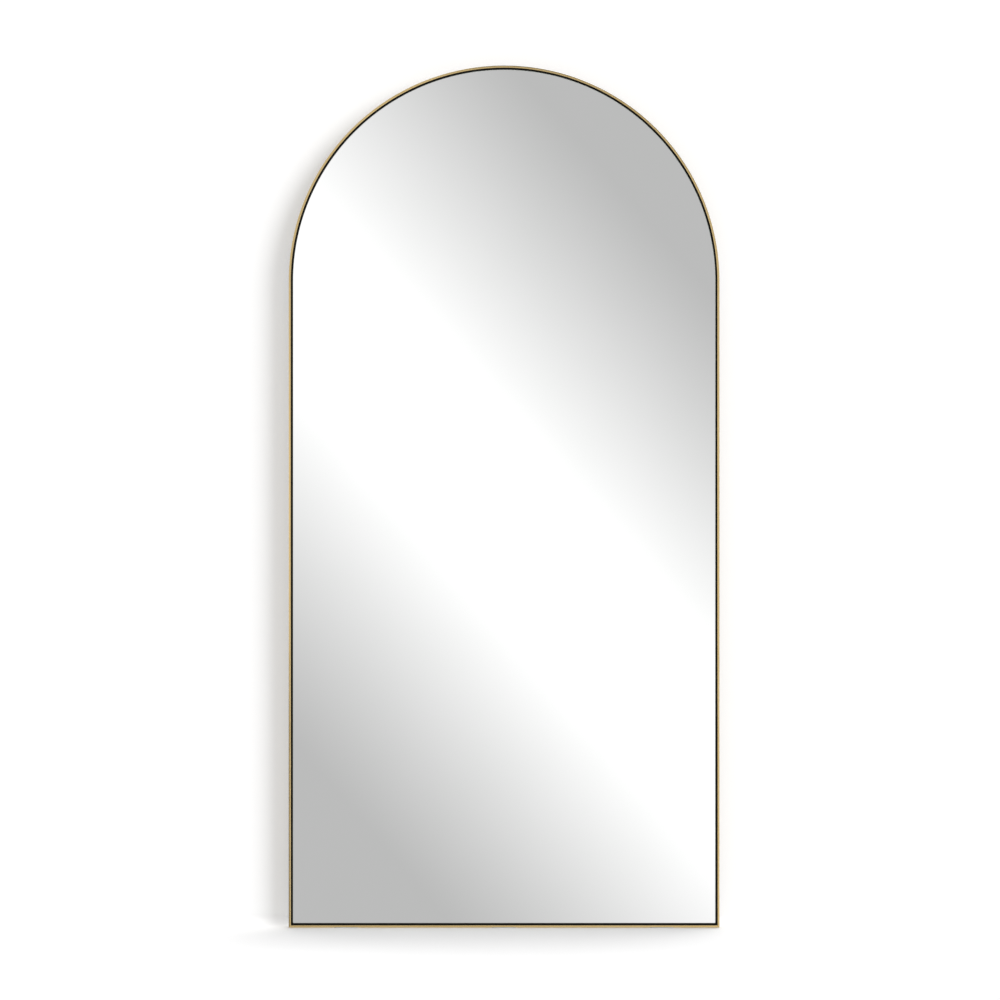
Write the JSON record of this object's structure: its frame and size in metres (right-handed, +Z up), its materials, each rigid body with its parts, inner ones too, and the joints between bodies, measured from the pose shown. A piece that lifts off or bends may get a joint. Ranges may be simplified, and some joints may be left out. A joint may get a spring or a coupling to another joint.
{
  "type": "leaning floor mirror",
  "caption": "Tall arched floor mirror: a thin gold metal frame round a sheet of mirror glass, with a backing board, hangers with swinging rings, wall bumpers and feet behind.",
  "frame": {"origin": "on the floor, under the middle of the mirror's box, with the mirror upright", "axes": "+X to the right seen from the front, +Y backwards to the wall, +Z up"},
  "size_m": [0.9, 0.028, 1.8014],
  "materials": {
    "frame_metal": "brushed, satin gold anodised",
    "mirror_glass": "silvered, polished arris",
    "black_gasket": "matt extruded",
    "safety_film": "woven-backed film",
    "foam_tape": "closed-cell foam",
    "backing_board": "black faced MDF",
    "packer_plastic": "moulded",
    "zinc_steel": "bright zinc plated",
    "ring_steel": "nickel plated wire",
    "bumper_rubber": "moulded, matt"
  },
  "bodies": {
    "root": {"head_rail": "frame_metal", "left_side_rail": "frame_metal", "right_side_rail": "frame_metal", "bottom_rail": "frame_metal", "left_corner_plate": "zinc_steel", "right_corner_plate": "zinc_steel", "left_splice_plate": "zinc_steel", "right_splice_plate": "zinc_steel", "mirror_glass": "mirror_glass", "safety_film": "safety_film", "tape_strip_1": "foam_tape", "tape_strip_2": "foam_tape", "tape_strip_3": "foam_tape", "tape_strip_4": "foam_tape", "tape_strip_5": "foam_tape", "backing_board": "backing_board", "left_setting_block": "packer_plastic", "right_setting_block": "packer_plastic", "arch_gasket": "black_gasket", "bottom_gasket": "black_gasket", "flange_screws": "zinc_steel", "corner_plate_screws": "zinc_steel", "splice_plate_screws": "zinc_steel", "hanger_screws": "zinc_steel", "left_hanger_plate": "zinc_steel", "right_hanger_plate": "zinc_steel", "top_left_bumper": "bumper_rubber", "top_right_bumper": "bumper_rubber", "bottom_left_bumper": "bumper_rubber", "bottom_right_bumper": "bumper_rubber", "left_foot": "bumper_rubber", "centre_foot": "bumper_rubber", "right_foot": "bumper_rubber"},
    "left_ring": {"left_hanger_ring": "ring_steel"},
    "right_ring": {"right_hanger_ring": "ring_steel"}
  },
  "joints": [
    {"name": "left_ring_swing", "type": "hinge", "parent": "root", "child": "left_ring", "pos_m": [-0.3, 0.00705, 1.3515], "axis": [1, 0, 0], "range_deg": [0, 185]},
    {"name": "right_ring_swing", "type": "hinge", "parent": "root", "child": "right_ring", "pos_m": [0.3, 0.00705, 1.3515], "axis": [1, 0, 0], "range_deg": [0, 185]}
  ]
}
